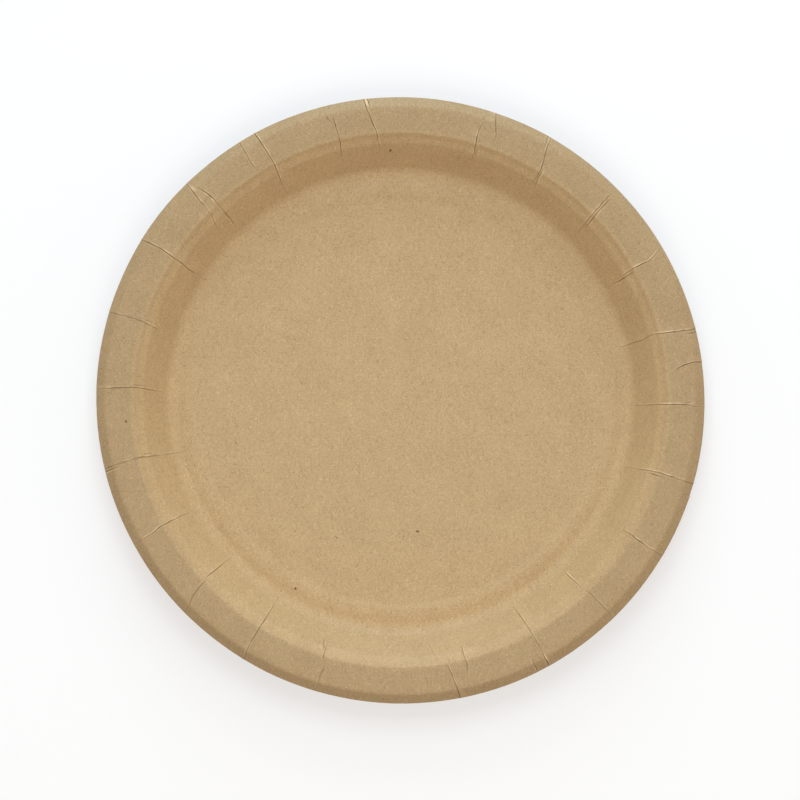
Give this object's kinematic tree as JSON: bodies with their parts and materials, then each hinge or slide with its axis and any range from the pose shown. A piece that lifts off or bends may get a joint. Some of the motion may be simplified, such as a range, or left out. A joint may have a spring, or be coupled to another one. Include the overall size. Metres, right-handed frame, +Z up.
{
  "type": "paper plate",
  "caption": "Round pressed paper plate of plain kraft board with a flat floor, low bead, sloping wall, pleated rim and turned-down lip, for serving food.",
  "frame": {"origin": "centre of the plate, on the underside of its floor, where it rests on the table", "axes": "+Z up through the open side of the plate; +Y close to the first score, which was pressed flat and shows no pleat"},
  "size_m": [0.23, 0.23, 0.0174],
  "materials": {
    "kraft_board": "uncoated natural brown kraft board, matt, with short fibres and a few dark specks"
  },
  "bodies": {
    "root": {"plate": "kraft_board"}
  },
  "joints": []
}
